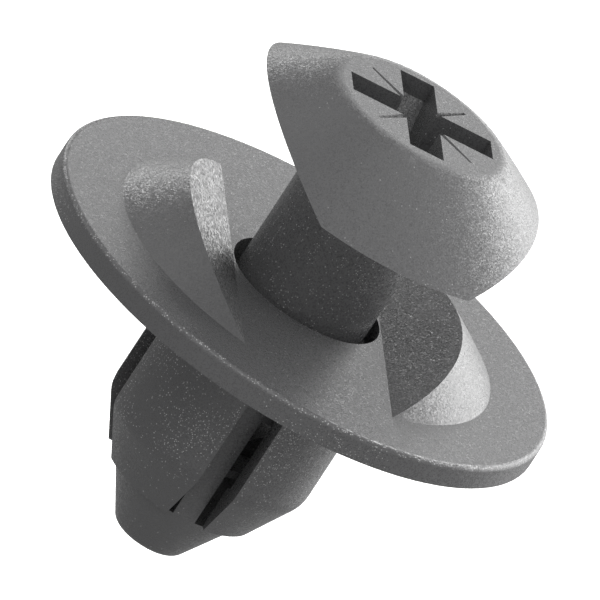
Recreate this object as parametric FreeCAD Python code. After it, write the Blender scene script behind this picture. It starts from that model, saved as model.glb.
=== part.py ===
import FreeCAD, Part
import math
import os

# Push-in clip that holds a wheel-arch liner to a fender.
# It has two moulded pieces: a grommet with a flange, two ramped humps and four split legs,
# and a pin with a screwdriver recess, which locks the legs apart when it is pushed home.
# Lengths are in millimetres, angles in degrees.
# Both pieces stand on the clip's own axis, with height 0 on the underside of the flange and the
# head upwards. The pin is drawn raised, as it is before it is pushed home.

# Flange of the grommet
flange_radius = 10.0
flange_thickness = 0.93
flange_edge_round = 0.18

# Low dome, split between the two humps of the flange and the head of the pin
dome_radius = 7.57
dome_height = 2.7
dome_top_radius = 3.45
dome_crown = 0.07
dome_top_blend = 0.8

# Channel across the dome: the humps stand on each side of it and the head fills it
channel_half_width = 3.05
ramp_angle = 28.3

# Bore and legs of the grommet
bore_radius = 3.0
leg_radius = 4.05
leg_straight_length = 5.84
leg_length = 7.85
leg_tip_radius = 3.0
leg_corner_round = 1.2
leg_slot_width = 1.5
leg_count = 4

# Bead inside the leg tips, which snaps behind the collar of the raised pin
bead_length = 1.7
bead_lead_in = 0.2

# Pin: round shank, collar, fins and nose
shank_radius = 2.62
shank_taper_length = 1.7
core_radius = 1.2
core_length = 0.63
collar_radius = 2.3
collar_length = 0.3
fin_width = 0.88
nose_radius = 2.62
nose_tip_radius = 1.3
nose_length = 2.28
nose_end_round = 0.43

# Screwdriver recess in the head
recess_span = 5.76
recess_wing_width = 1.39
recess_wall_depth = 0.7
recess_depth = 2.6
recess_taper_angle = 59.0
tick_reach = 2.68
tick_near_width = 0.24
tick_near_depth = 0.3
tick_far_width = 0.11
tick_far_depth = 0.12

# Push that locks the clip, and working gaps
pin_travel = 5.25
shank_clearance = 0.05
home_clearance = 0.05
nose_clearance = 0.05
collar_clearance = 0.05

# Overlap that lets two shapes of one moulding join cleanly
weld = 0.2


def up(height):
    """Point on the clip's axis."""
    return FreeCAD.Vector(0, 0, height)


def turned(points):
    """Solid of revolution about the clip's axis, from (radius, height) points.

    A point of three values (radius, height, bulge) ends an arc, whose middle stands out by bulge.
    """
    edges = []
    for start, end in zip(points, points[1:] + points[:1]):
        a = FreeCAD.Vector(start[0], 0, start[1])
        b = FreeCAD.Vector(end[0], 0, end[1])
        if len(end) == 3:
            middle = (a + b) * 0.5
            along = (b - a).normalize()
            outwards = FreeCAD.Vector(along.z, 0, -along.x)
            edges.append(Part.Arc(a, middle + outwards * end[2], b).toShape())
        else:
            edges.append(Part.LineSegment(a, b).toShape())
    return Part.Face(Part.Wire(edges)).revolve(up(0), FreeCAD.Vector(0, 0, 1), 360)


def circular_edges(shape, radius, height):
    """Full round edges of a shape that have this radius and lie at this height."""
    found = []
    for edge in shape.Edges:
        if not isinstance(edge.Curve, Part.Circle):
            continue
        same_height = abs(edge.Curve.Center.z - height) < 0.001
        if same_height and abs(edge.Curve.Radius - radius) < 0.001:
            found.append(edge)
    return found


def prism(section, depth):
    """Straight bar along Y, centred on the axis, from a closed (x, height) outline."""
    corners = [FreeCAD.Vector(x, -depth / 2, z) for x, z in section]
    face = Part.Face(Part.makePolygon(corners + corners[:1]))
    return face.extrude(FreeCAD.Vector(0, depth, 0))


def around(shape, count):
    """Copies of a shape, evenly turned about the clip's axis."""
    copies = []
    for step in range(count):
        copy = shape.copy()
        copy.rotate(up(0), FreeCAD.Vector(0, 0, 1), step * 360 / count)
        copies.append(copy)
    return copies


def dome(base):
    """Low dome that stands on a base height, with a short foot below it."""
    top = base + dome_height
    shape = turned([
        (0, base - weld),
        (dome_radius, base - weld),
        (dome_radius, base),
        (dome_top_radius, top, dome_crown),
        (0, top),
    ])
    return shape.makeFillet(dome_top_blend, circular_edges(shape, dome_top_radius, top))


def channel(base):
    """Bar with sloping sides that parts the humps from the head, widening upwards."""
    rise = dome_height + 2 * weld
    near = channel_half_width
    far = near + rise / math.tan(math.radians(ramp_angle))
    section = [(-near, base), (near, base), (far, base + rise), (-far, base + rise)]
    return prism(section, 4 * dome_radius)


def grommet():
    """Flange with two humps, over four legs that spread in the hole."""
    plate = turned([(0, 0), (flange_radius, 0), (flange_radius, flange_thickness), (0, flange_thickness)])
    plate = plate.makeFillet(flange_edge_round, circular_edges(plate, flange_radius, flange_thickness))

    top = plate.fuse(dome(flange_thickness)).removeSplitter()
    top = top.cut(channel(flange_thickness))
    top = top.cut(Part.makeCylinder(bore_radius, flange_thickness + dome_height + 2 * weld, up(-weld)))

    bead_radius = shank_radius + shank_clearance
    bead_top = bead_length - leg_length
    legs = turned([
        (bore_radius, weld),
        (leg_radius, weld),
        (leg_radius, -leg_straight_length),
        (leg_tip_radius, -leg_length),
        (bead_radius, -leg_length),
        (bead_radius, bead_top),
        (bore_radius, bead_top + bead_lead_in),
    ])
    legs = legs.makeFillet(leg_corner_round, circular_edges(legs, leg_radius, -leg_straight_length))
    slot = Part.makeBox(2 * leg_radius, leg_slot_width, leg_length + weld)
    slot.translate(FreeCAD.Vector(0, -leg_slot_width / 2, -leg_length - weld))
    for copy in around(slot, leg_count):
        legs = legs.cut(copy)
    return top.fuse(legs).removeSplitter()


def v_outline(x, width, depth, top):
    """Closed outline of a V groove across the X direction, cut down from the top height."""
    corners = [
        FreeCAD.Vector(x, -width / 2, top),
        FreeCAD.Vector(x, width / 2, top),
        FreeCAD.Vector(x, 0, top - depth),
    ]
    return Part.makePolygon(corners + corners[:1])


def recess(top):
    """Cross recess with four tapered wings, and a thin V groove, the tick, between each two."""
    half = recess_span / 2
    taper = (recess_depth - recess_wall_depth) / math.tan(math.radians(recess_taper_angle))
    wing = [
        (-half, top + weld),
        (half, top + weld),
        (half, top - recess_wall_depth),
        (half - taper, top - recess_depth),
        (taper - half, top - recess_depth),
        (-half, top - recess_wall_depth),
    ]
    wing = prism(wing, recess_wing_width)
    across = wing.copy()
    across.rotate(up(0), FreeCAD.Vector(0, 0, 1), 90)
    cut = wing.fuse(across)

    near = v_outline(recess_wing_width / 2, tick_near_width, tick_near_depth, top)
    far = v_outline(tick_reach, tick_far_width, tick_far_depth, top)
    tick = Part.makeLoft([near, far], True, True)
    tick.rotate(up(0), FreeCAD.Vector(0, 0, 1), 45)
    for copy in around(tick, 4):
        cut = cut.fuse(copy)
    return cut


def pin():
    """Head that fits between the humps, on a shank with four fins and a nose."""
    under_head = flange_thickness + home_clearance + pin_travel
    head_top = under_head + dome_height
    head = dome(under_head).common(channel(under_head))

    nose_top = -leg_length - nose_clearance
    nose_end = nose_top - nose_length
    collar_foot = bead_length + bead_lead_in - leg_length + collar_clearance
    collar_top = collar_foot + collar_length
    core_top = collar_top + core_length
    shank_end = core_top + shank_taper_length
    stem = turned([
        (0, under_head + weld),
        (shank_radius, under_head + weld),
        (shank_radius, shank_end),
        (core_radius, core_top),
        (core_radius, collar_top),
        (collar_radius, collar_top),
        (collar_radius, collar_foot),
        (core_radius, collar_foot),
        (core_radius, nose_top),
        (nose_radius, nose_top),
        (nose_tip_radius, nose_end),
        (0, nose_end),
    ])
    stem = stem.makeFillet(nose_end_round, circular_edges(stem, nose_tip_radius, nose_end))
    fin_height = shank_end + weld - nose_top
    fins = Part.makeBox(2 * shank_radius, fin_width, fin_height)
    fins.translate(FreeCAD.Vector(-shank_radius, -fin_width / 2, nose_top))
    across = fins.copy()
    across.rotate(up(0), FreeCAD.Vector(0, 0, 1), 90)
    fins = fins.fuse(across).common(Part.makeCylinder(shank_radius, fin_height, up(nose_top)))
    body = head.fuse(stem).fuse(fins)
    return body.cut(recess(head_top)).removeSplitter()


os.makedirs("parts", exist_ok=True)
for name, piece in (("grommet", grommet()), ("pin", pin())):
    solid = piece.Solids[0]
    solid.exportStep("parts/" + name + ".step")
    print(name, len(piece.Solids), solid.isValid(), round(solid.Volume, 3), solid.optimalBoundingBox())
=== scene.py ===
# %% [markdown]
# # A push-in clip for a wheel-arch liner
# The clip is two mouldings in dark plastic: a grommet with a round flange, two humps and four
# split legs, and a pin whose head fills the gap between the humps when it is pushed home.
# Both arrive here as finished solids that must not move, so this lesson models nothing new.
# It gives them their finish, and then a floor and light, after the camera that looks at them.

# %% Load the clip
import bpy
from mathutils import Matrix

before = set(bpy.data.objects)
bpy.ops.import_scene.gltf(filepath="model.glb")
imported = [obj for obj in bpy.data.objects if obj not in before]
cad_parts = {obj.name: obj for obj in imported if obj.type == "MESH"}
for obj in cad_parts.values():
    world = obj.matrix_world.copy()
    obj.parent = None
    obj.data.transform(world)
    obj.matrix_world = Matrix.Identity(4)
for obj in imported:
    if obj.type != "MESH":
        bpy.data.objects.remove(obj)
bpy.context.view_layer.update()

# %% [markdown]
# ## Units
# Blender counts in metres, and the clip is only 2 cm across. Writing every length as a number of
# millimetres times MM keeps the numbers readable.

# %% Tools and units
import math
import bpy
import numpy as np
from mathutils import Matrix, Vector

MM = 0.001

# %% [markdown]
# ## The camera
# In the photograph, edges that are parallel on the clip stay parallel. A perspective camera very
# far away could do that, but an orthographic one does it exactly and is easier to frame: its
# scale is simply how many millimetres fit across the picture.
# It stands 17.6 degrees to the left of the front and 21.5 degrees above it, and it is rolled,
# which makes the clip lean to the right. Angles are awkward for a rolled camera. It is easier to
# write down two directions, the one to its right and the one above it, and to let the third,
# towards the camera, follow from them.

# %% Camera
CAMERA_RIGHT = Vector((0.85747, -0.06024, 0.51099))
CAMERA_UP = Vector((-0.43124, 0.45759, 0.77759))
FRAME_WIDTH = 21.249 * MM
LOOK_AT = (0.2368 * CAMERA_RIGHT + 0.4005 * CAMERA_UP) * MM
CAMERA_DISTANCE = 45 * MM


def aimed(centre, right, up, distance):
    """World matrix of a camera that looks at a centre from a distance, given its right and up."""
    right = right.normalized()
    up = (up - right * up.dot(right)).normalized()
    back = right.cross(up)
    turn = Matrix((right, up, back)).transposed().to_4x4()
    return Matrix.Translation(centre + back * distance) @ turn


camera = bpy.data.objects.new("camera", bpy.data.cameras.new("camera"))
bpy.context.scene.collection.objects.link(camera)
camera.data.type = "ORTHO"
camera.data.ortho_scale = FRAME_WIDTH
camera.data.clip_start = 1 * MM
camera.data.clip_end = 5.0
camera.matrix_world = aimed(LOOK_AT, CAMERA_RIGHT, CAMERA_UP, CAMERA_DISTANCE)
bpy.context.scene.camera = camera
print("camera looks along", [round(v, 3) for v in -camera.matrix_world.col[2].xyz])

# %% [markdown]
# ## The moulded plastic
# The clip is dark satin plastic. It has a very fine grain, which comes from the sparks that cut
# the mould; a gloss that drifts a little over some millimetres, where the melt met the mould hot
# or cold; and the plain satin shine itself. Small pale specks are painted over it too: dust, which
# also paints glints of light, and a painted highlight along the rim. Painting all this into an
# image would need a picture file and would blur close up. Noise that is worked out from each
# point's own place never does, and it stays put when the pin slides, because Object coordinates
# move with the piece.
# Each effect is a shader node group, made once, so that both mouldings share it with their own
# values. Four short helpers keep the code for the groups readable. Wherever a number can stand,
# so can another node's output: the helpers set the one and link the other.


# %% Helper: a new shader group
def shader_group(name, inputs, outputs):
    """Node group with float inputs {name: default} and outputs {name: socket type}."""
    group = bpy.data.node_groups.new(name, "ShaderNodeTree")
    for label, default in inputs.items():
        socket = group.interface.new_socket(label, in_out="INPUT", socket_type="NodeSocketFloat")
        socket.default_value = default
    for label, kind in outputs.items():
        group.interface.new_socket(label, in_out="OUTPUT", socket_type=kind)
    start = group.nodes.new("NodeGroupInput")
    end = group.nodes.new("NodeGroupOutput")
    print("group:", name, " takes", list(inputs), " gives", list(outputs))
    return group, start, end


# %% Helpers: nodes
def node(tree, kind, sockets=(), **properties):
    """Node of a kind, with its properties and its sockets {name or number: value or output}."""
    made = tree.nodes.new(kind)
    for key, value in properties.items():
        setattr(made, key, value)
    for key, value in dict(sockets).items():
        if isinstance(value, bpy.types.NodeSocket):
            tree.links.new(value, made.inputs[key])
        else:
            made.inputs[key].default_value = value
    return made


def maths(tree, operation, *terms):
    """Output of a Math node that does one operation on its terms, in their order."""
    return node(tree, "ShaderNodeMath", enumerate(terms), operation=operation).outputs[0]


def fade(tree, value, near, far, at_near, at_far):
    """Output that is at_near up to near, at_far from far on, and changes evenly in between."""
    sockets = {"Value": value, "From Min": near, "From Max": far,
               "To Min": at_near, "To Max": at_far}
    return node(tree, "ShaderNodeMapRange", sockets).outputs[0]


# %% [markdown]
# ## Grain of the mould
# A spark-finished mould leaves tiny facets, each about 0.04 mm across and turned a little its own
# way. It could be a bump, but a bump this fine is lost between two samples of one pixel. Turning
# the normal itself keeps it crisp. A Voronoi pattern gives the facets: every cell has one random
# colour, whose three values serve as a small random direction that is added to the surface's
# normal. The blue one also makes each facet a little more or less glossy. In even light nothing
# shows, and where a bright reflection begins or ends the grain sparkles, as on the real clip.
# Two places differ. Level faces lay against a smoother plate of the mould, so they keep only a
# share of the grain. The ramp that faces +X lay against a part that was polished along the
# channel: there each facet is drawn out along Y, and turned a little further. A face is known by
# its normal, which points up on a level face and leans by the ramp's own angle on the ramp.

# %% Group: grain of the mould
RAMP_ANGLE = 28.3
RAMP_LEAN = math.sin(math.radians(RAMP_ANGLE))
SAME_LEAN = 0.02
SLOPING, LEVEL = 0.96, 0.99


def make_grain_group():
    """Normal and gloss that differ a little in each small cell of a Voronoi pattern.

    To the surface's own normal is added Tilt times the cell's random colour less one half, and
    to a gloss of 1, Contrast times the colour's blue less one half. What is added is multiplied
    by Flat on level faces, and by Ramp on the +X ramp, where a cell is Stretch times as long.
    """
    group, start, end = shader_group(
        "mould grain",
        {"Grains per metre": 24000.0, "Tilt": 0.23, "Contrast": 1.0,
         "Flat": 0.7, "Ramp": 1.5, "Stretch": 4.0},
        {"Normal": "NodeSocketVector", "Gloss": "NodeSocketFloat"})
    place = node(group, "ShaderNodeTexCoord")
    facing = node(group, "ShaderNodeSeparateXYZ", {0: place.outputs["Normal"]})
    leans = maths(group, "COMPARE", facing.outputs["X"], RAMP_LEAN, SAME_LEAN)
    straight = maths(group, "COMPARE", facing.outputs["Y"], 0.0, SAME_LEAN)
    on_ramp = maths(group, "MULTIPLY", leans, straight)
    level = fade(group, facing.outputs["Z"], SLOPING, LEVEL, 1.0, start.outputs["Flat"])
    ramp = fade(group, on_ramp, 0.0, 1.0, 1.0, start.outputs["Ramp"])
    share = maths(group, "MULTIPLY", level, ramp)

    narrow = maths(group, "DIVIDE", 1.0, start.outputs["Stretch"])
    drawn = node(group, "ShaderNodeCombineXYZ",
                 {"X": 1.0, "Y": fade(group, on_ramp, 0.0, 1.0, 1.0, narrow), "Z": 1.0})
    spot = node(group, "ShaderNodeVectorMath",
                {0: place.outputs["Object"], 1: drawn.outputs[0]}, operation="MULTIPLY")
    cells = node(group, "ShaderNodeTexVoronoi",
                 {"Vector": spot.outputs[0], "Scale": start.outputs["Grains per metre"]},
                 feature="F1")
    centred = node(group, "ShaderNodeVectorMath",
                   {0: cells.outputs["Color"], 1: (0.5, 0.5, 0.5)}, operation="SUBTRACT")
    shared = node(group, "ShaderNodeVectorMath",
                  {0: centred.outputs[0], "Scale": share}, operation="SCALE")

    turned = node(group, "ShaderNodeVectorMath",
                  {0: shared.outputs[0], "Scale": start.outputs["Tilt"]}, operation="SCALE")
    surface = node(group, "ShaderNodeNewGeometry")
    added = node(group, "ShaderNodeVectorMath",
                 {0: surface.outputs["Normal"], 1: turned.outputs[0]}, operation="ADD")
    unit = node(group, "ShaderNodeVectorMath", {0: added.outputs[0]}, operation="NORMALIZE")
    group.links.new(unit.outputs[0], end.inputs["Normal"])

    blue = node(group, "ShaderNodeSeparateXYZ", {0: shared.outputs[0]}).outputs["Z"]
    gloss = maths(group, "MULTIPLY_ADD", blue, start.outputs["Contrast"], 1.0)
    group.links.new(gloss, end.inputs["Gloss"])
    return group


grain_group = make_grain_group()

# %% [markdown]
# ## Drift of tone and gloss
# No moulding is perfectly even. A slow noise, some three millimetres from one patch to the next,
# makes the plastic a touch lighter or darker and a touch glossier or duller. One noise could
# drive both through one factor, but tone and gloss need different strengths, so the group turns
# it into two factors that stay near 1.

# %% Group: drift of tone and gloss
DRIFT_DETAIL = 4.0


def make_drift_group():
    """Slow noise about 1: a factor for the tone, and another for the roughness.

    Each factor is 1 plus the noise less one half, times the input of the same name.
    """
    group, start, end = shader_group(
        "mould drift", {"Patches per metre": 350.0, "Tone": 0.05, "Gloss": 0.06},
        {"Tone": "NodeSocketFloat", "Gloss": "NodeSocketFloat"})
    place = node(group, "ShaderNodeTexCoord")
    slow = node(group, "ShaderNodeTexNoise",
                {"Vector": place.outputs["Object"], "Scale": start.outputs["Patches per metre"],
                 "Detail": DRIFT_DETAIL})
    centred = maths(group, "SUBTRACT", slow.outputs["Fac"], 0.5)
    for label in ("Tone", "Gloss"):
        factor = maths(group, "MULTIPLY_ADD", centred, start.outputs[label], 1.0)
        group.links.new(factor, end.inputs[label])
    return group


drift_group = make_drift_group()

# %% [markdown]
# ## Specks
# Two things are made of small pale specks painted into the colour: dust, which also paints
# glints of light, and a painted highlight along the rim of the flange. Separate little meshes
# would need thousands of pieces for something no higher than a hair, so a mask in the shader
# does it. Of the cells of a Voronoi pattern, a share is chosen by the cell's random colour, and
# only the middle of a chosen cell is painted, in a paleness that is random too. A second value,
# Where, thins the specks out, and the next two groups work it out.

# %% Group: specks
FAINTEST = 0.4


def make_speck_group():
    """Mask of small round specks: cells whose random red is low, near the cell's own point.

    A cell holds a speck if its red is below Share times Where, and the speck reaches Size of a
    cell from the cell's point. There the mask is FAINTEST to 1, as the cell's green runs 0 to 1.
    """
    group, start, end = shader_group(
        "specks", {"Specks per metre": 14000.0, "Share": 0.3, "Size": 0.28, "Where": 1.0},
        {"Mask": "NodeSocketFloat"})
    place = node(group, "ShaderNodeTexCoord")
    cells = node(group, "ShaderNodeTexVoronoi",
                 {"Vector": place.outputs["Object"], "Scale": start.outputs["Specks per metre"]},
                 feature="F1")
    random = node(group, "ShaderNodeSeparateColor", {"Color": cells.outputs["Color"]})
    limit = maths(group, "MULTIPLY", start.outputs["Share"], start.outputs["Where"])
    chosen = maths(group, "LESS_THAN", random.outputs["Red"], limit)
    close = maths(group, "LESS_THAN", cells.outputs["Distance"], start.outputs["Size"])
    speck = maths(group, "MULTIPLY", chosen, close)
    paleness = fade(group, random.outputs["Green"], 0.0, 1.0, FAINTEST, 1.0)
    group.links.new(maths(group, "MULTIPLY", speck, paleness), end.inputs["Mask"])
    return group


speck_group = make_speck_group()

# %% [markdown]
# ## Where dust and painted glints lie
# Pale specks of dust, which also paint glints of light, lie in loose clumps, mostly beside the
# slots of the legs and on the shank. Few lie on the flange and the head, or on the tips of the
# legs and the nose. A slow noise makes the clumps. The four slots lie in the planes X = 0 and
# Y = 0, so the smaller of a point's distances from those two planes says how near a slot it is.
# Its height decides whether it lies in the speckled band, and each end of the band is spread
# over one millimetre, so that no line shows.

# %% Group: dust and painted glints
BETWEEN_CLUMPS, IN_CLUMP = 0.32, 0.52
BESIDE_SLOT, FAR_FROM_SLOT = 2.0 * MM, 3.4 * MM
HALF_SPREAD = 0.5 * MM
LEFT_OVER = 0.1


def make_dust_and_glint_group():
    """Dust and painted glints: clumps of a noise, times nearness to a slot, times the band of
    heights.

    Above Top and below Foot a tenth is left.
    """
    group, start, end = shader_group(
        "dust_and_glints", {"Clumps per metre": 450.0, "Top": 0.0, "Foot": -6.0 * MM},
        {"Where": "NodeSocketFloat"})
    place = node(group, "ShaderNodeTexCoord")
    at = node(group, "ShaderNodeSeparateXYZ", {0: place.outputs["Object"]})
    noise = node(group, "ShaderNodeTexNoise",
                 {"Vector": place.outputs["Object"], "Scale": start.outputs["Clumps per metre"]})
    where = fade(group, noise.outputs["Fac"], BETWEEN_CLUMPS, IN_CLUMP, 0.0, 1.0)
    from_planes = [maths(group, "ABSOLUTE", at.outputs[axis]) for axis in "XY"]
    beside = fade(group, maths(group, "MINIMUM", *from_planes),
                  BESIDE_SLOT, FAR_FROM_SLOT, 1.0, 0.0)
    where = maths(group, "MULTIPLY", where, beside)
    for label, below, above in (("Top", 1.0, LEFT_OVER), ("Foot", LEFT_OVER, 1.0)):
        height = maths(group, "SUBTRACT", at.outputs["Z"], start.outputs[label])
        band = fade(group, height, -HALF_SPREAD, HALF_SPREAD, below, above)
        where = maths(group, "MULTIPLY", where, band)
    group.links.new(where, end.inputs["Where"])
    return group


dust_and_glint_group = make_dust_and_glint_group()

# %% [markdown]
# ## Painted highlight along the rim
# The upper edge of the flange catches the light as a line of bright points. This highlight is
# painted into the colour as pale specks along the rim. A mask could follow the sharpness of every
# edge, through Pointiness, but that depends on the mesh and would mark the screwdriver recess
# too. The rim is a circle about the clip's axis, so a point's distance from that circle says it
# directly.


# %% Group: painted rim highlight
def make_rim_highlight_group():
    """Painted highlight on a round rim: 1 on a circle of this Radius and Height, 0 at Width from
    it.

    The distance is the length of (distance from the axis less Radius, height less Height).
    """
    group, start, end = shader_group(
        "painted rim highlight", {"Radius": 10.0 * MM, "Height": 0.93 * MM, "Width": 0.18 * MM},
        {"Where": "NodeSocketFloat"})
    place = node(group, "ShaderNodeTexCoord")
    at = node(group, "ShaderNodeSeparateXYZ", {0: place.outputs["Object"]})
    level = node(group, "ShaderNodeCombineXYZ", {"X": at.outputs["X"], "Y": at.outputs["Y"]})
    from_axis = node(group, "ShaderNodeVectorMath", {0: level.outputs[0]}, operation="LENGTH")
    outwards = maths(group, "SUBTRACT", from_axis.outputs["Value"], start.outputs["Radius"])
    upwards = maths(group, "SUBTRACT", at.outputs["Z"], start.outputs["Height"])
    offset = node(group, "ShaderNodeCombineXYZ", {"X": outwards, "Y": upwards})
    distance = node(group, "ShaderNodeVectorMath", {0: offset.outputs[0]}, operation="LENGTH")
    painted_highlight = fade(group, distance.outputs["Value"], 0.0, start.outputs["Width"], 1.0, 0.0)
    group.links.new(painted_highlight, end.inputs["Where"])
    return group


rim_highlight_group = make_rim_highlight_group()

# %% [markdown]
# ## The plastic itself
# One function mixes the finish for either moulding. The plain numbers that are the same all over,
# such as the index of refraction, are set on the Principled shader's own sockets. What changes
# over the surface comes from the groups: drift makes the base colour, on which dust specks that
# also paint glints and the painted highlight along the rim are laid; drift and grain make the
# roughness, and grain makes the normal.
# The two pieces differ in how many dust and glint specks they carry and between which heights
# these lie. Only the grommet has the painted rim highlight, so on the pin its share is none.
# A Mix node has a set of sockets for each kind of data, with the same names in every set. So its
# colours are reached by number: 6 and 7 go in, and 2 comes out.

# %% The plastic
PLASTIC_IOR = 1.53
TONE = 0.07
BLUENESS = 1.02
ROUGHNESS = 0.34
# Pale grey painted as specks: dust that also paints glints, and the painted highlight on the rim,
# whose specks are larger.
SPECK_GREY = (0.42, 0.42, 0.42, 1)
RIM_HIGHLIGHT_SPECK_SIZE = 0.36
MIX_A, MIX_B, MIX_RESULT = 6, 7, 2


def moulded_plastic(name, dust_and_glints, rim_highlight_share):
    """Satin plastic. First (share of cells, foot, top) of dust and glint specks, then the rim's
    share.

    The base colour is the tone times the drift, and grey where the mask of either kind of speck
    says so: dust that also paints glints, and the painted highlight on the rim. The roughness is
    ROUGHNESS times the drift's gloss times the grain's.
    """
    share, foot, top = dust_and_glints
    material = bpy.data.materials.new(name)
    material.use_nodes = True
    tree = material.node_tree
    shader = tree.nodes["Principled BSDF"]
    shader.inputs["IOR"].default_value = PLASTIC_IOR

    drift = node(tree, "ShaderNodeGroup", node_tree=drift_group)
    grain = node(tree, "ShaderNodeGroup", node_tree=grain_group)
    lying = node(tree, "ShaderNodeGroup", node_tree=dust_and_glint_group)
    lying.inputs["Foot"].default_value = foot
    lying.inputs["Top"].default_value = top
    rim = node(tree, "ShaderNodeGroup", node_tree=rim_highlight_group)
    dust_and_glint_specks = node(tree, "ShaderNodeGroup", node_tree=speck_group)
    painted_highlight = node(tree, "ShaderNodeGroup", node_tree=speck_group)
    dust_and_glint_specks.inputs["Share"].default_value = share
    painted_highlight.inputs["Share"].default_value = rim_highlight_share
    painted_highlight.inputs["Size"].default_value = RIM_HIGHLIGHT_SPECK_SIZE
    tree.links.new(lying.outputs["Where"], dust_and_glint_specks.inputs["Where"])
    tree.links.new(rim.outputs["Where"], painted_highlight.inputs["Where"])

    drifted = node(tree, "ShaderNodeMix", {"Factor": 1.0}, data_type="RGBA", blend_type="MULTIPLY")
    drifted.inputs[MIX_A].default_value = (TONE, TONE, TONE * BLUENESS, 1)
    tree.links.new(drift.outputs["Tone"], drifted.inputs[MIX_B])
    # The specks paint pale grey into the colour: dust that also paints glints, and the rim's
    # painted highlight.
    pale = maths(tree, "MAXIMUM", dust_and_glint_specks.outputs["Mask"], painted_highlight.outputs["Mask"])
    specked = node(tree, "ShaderNodeMix", {"Factor": pale, MIX_A: drifted.outputs[MIX_RESULT],
                                           MIX_B: SPECK_GREY}, data_type="RGBA")
    tree.links.new(specked.outputs[MIX_RESULT], shader.inputs["Base Color"])

    gloss = maths(tree, "MULTIPLY", drift.outputs["Gloss"], ROUGHNESS)
    tree.links.new(maths(tree, "MULTIPLY", gloss, grain.outputs["Gloss"]),
                   shader.inputs["Roughness"])
    tree.links.new(grain.outputs["Normal"], shader.inputs["Normal"])
    return material


# The grommet carries dust and glint specks and the painted rim highlight; the pin only the specks.
finishes = {
    "grommet": moulded_plastic("grommet plastic", (0.7, -6.0 * MM, 0.3 * MM), 0.9),
    "pin": moulded_plastic("pin plastic", (0.25, -2.0 * MM, 6.0 * MM), 0.0),
}
for name, finish in finishes.items():
    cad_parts[name].material_slots[0].material = finish
    print(name, "is finished in", finish.name)

# %% [markdown]
# ## The floor
# The clip is photographed on white, and it is made to sit in a hole, not on a table. So it keeps
# its own upright frame, and a pale floor lies 60 mm below it. Two planes could serve as floor and
# wall, but one wide sheet fills the view from every side above it.
# It glows a little, so that it looks white from the camera. It is hidden from diffuse, glossy
# and shadow rays, so that it neither lights the clip from below nor cuts off the low softboxes.

# %% Floor
FLOOR_HEIGHT = -60 * MM
FLOOR_HALF = 1.0
FLOOR_POINTS = 3
PAPER_GREY = (0.85, 0.85, 0.85, 1)
PAPER_ROUGHNESS = 0.9
PAPER_GLOW = 0.55


def flat_grid(half, height, count):
    """Square grid of count by count points: x and y run from -half to half, z is the height."""
    x, y = np.meshgrid(np.linspace(-half, half, count), np.linspace(-half, half, count))
    points = np.stack([x.ravel(), y.ravel(), np.full(x.size, height)], 1)
    index = np.arange(count * count).reshape(count, count)
    quads = np.stack([index[:-1, :-1], index[:-1, 1:], index[1:, 1:], index[1:, :-1]], -1)
    return points, quads.reshape(-1, 4)


points, quads = flat_grid(FLOOR_HALF, FLOOR_HEIGHT, FLOOR_POINTS)
floor_mesh = bpy.data.meshes.new("floor")
floor_mesh.from_pydata(points.tolist(), [], quads.tolist())
floor = bpy.data.objects.new("floor", floor_mesh)
bpy.context.scene.collection.objects.link(floor)
floor.visible_diffuse = False
floor.visible_glossy = False
floor.visible_shadow = False
paper = bpy.data.materials.new("pale floor")
paper.use_nodes = True
paper_shader = paper.node_tree.nodes["Principled BSDF"]
paper_shader.inputs["Base Color"].default_value = PAPER_GREY
paper_shader.inputs["Roughness"].default_value = PAPER_ROUGHNESS
paper_shader.inputs["Emission Color"].default_value = (1, 1, 1, 1)
paper_shader.inputs["Emission Strength"].default_value = PAPER_GLOW
floor_mesh.materials.append(paper)
print("floor at", FLOOR_HEIGHT / MM, "mm,", len(quads), "faces")

# %% [markdown]
# ## The light
# Dark glossy plastic has almost no colour of its own: what the eye sees is the room, mirrored and
# blurred. So the light is built from what each surface mirrors. The head and the right hump are
# brightest on the side that faces right and back, so the strongest light stands there. The flat
# flange mirrors what is low behind the clip, so two weaker strips lie there, above and below the
# key. Softer lights stand in front above, and at the left. An even grey sky fills the rest.
# A softbox is easier to place by the angles it fills, as seen from the clip, than by metres and
# watts, so the helper takes angles and a radiance, and works out the size and the power.

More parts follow.
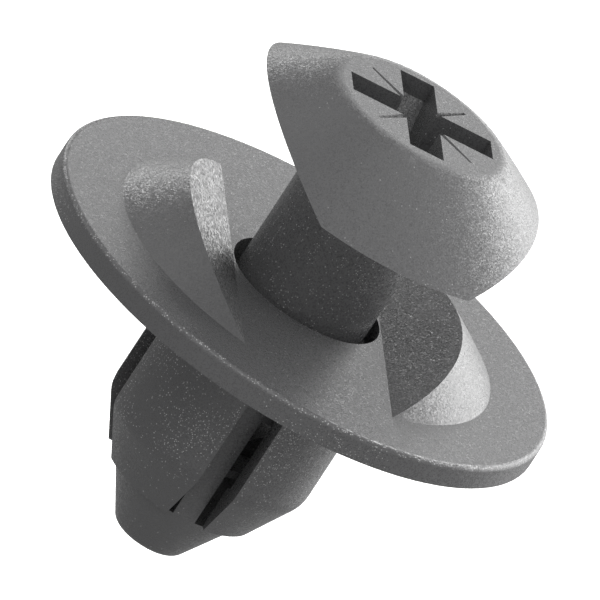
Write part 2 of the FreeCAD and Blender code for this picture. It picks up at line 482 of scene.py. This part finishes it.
# %% Sky
SKY_RADIANCE = 0.43
world = bpy.data.worlds.new("studio")
bpy.context.scene.world = world
world.use_nodes = True
sky = world.node_tree.nodes["Background"]
sky.inputs["Color"].default_value = (1, 1, 1, 1)
sky.inputs["Strength"].default_value = SKY_RADIANCE
print("sky radiance:", SKY_RADIANCE)

# %% Softboxes
LIGHT_DISTANCE = 350 * MM


def softbox(name, azimuth, elevation, spread, rise, radiance):
    """Area light that faces the clip, given the angles that it fills as the clip sees it.

    Azimuth 0 is behind the clip and 90 to its right. Spread and rise are the full angles of its
    width and height, all in degrees. Its power is radiance times pi times its area.
    """
    a, e = math.radians(azimuth), math.radians(elevation)
    out = Vector((math.sin(a) * math.cos(e), math.cos(a) * math.cos(e), math.sin(e)))
    right = Vector((0, 0, 1)).cross(out).normalized()
    turn = Matrix((right, out.cross(right), out)).transposed().to_4x4()
    data = bpy.data.lights.new(name, "AREA")
    data.shape = "RECTANGLE"
    data.size = 2 * LIGHT_DISTANCE * math.tan(math.radians(spread) / 2)
    data.size_y = 2 * LIGHT_DISTANCE * math.tan(math.radians(rise) / 2)
    data.energy = radiance * math.pi * data.size * data.size_y
    lamp = bpy.data.objects.new(name, data)
    bpy.context.scene.collection.objects.link(lamp)
    lamp.matrix_world = Matrix.Translation(out * LIGHT_DISTANCE) @ turn
    lamp.visible_camera = False
    print(f"{name}: {data.size / MM:.0f} by {data.size_y / MM:.0f} mm, {data.energy:.2f} W")


softbox("key", 65, 24, 60, 18, 5.2)
softbox("key top", 62, 34, 50, 12, 1.6)
softbox("key edge", 55, 24, 80, 90, 0.68)
softbox("upper strip", 35, 42, 64, 18, 1.7)
softbox("lower strip", 45, 6, 100, 18, 1.5)
softbox("low right", 65, -3, 60, 36, 0.65)
softbox("high right", 85, 70, 40, 26, 0.65)
softbox("behind", -15, 8, 18, 18, 3.2)
softbox("overhead", 0, 88, 24, 24, 1.0)
softbox("front above", -165, 46, 55, 36, 2.3)
softbox("front below", -165, -10, 60, 30, 0.55)
softbox("right front", 132, -5, 68, 30, 0.65)
softbox("left", -105, 20, 45, 40, 0.6)
softbox("left behind", -60, 35, 40, 60, 0.8)
bpy.context.scene.view_settings.view_transform = "Standard"
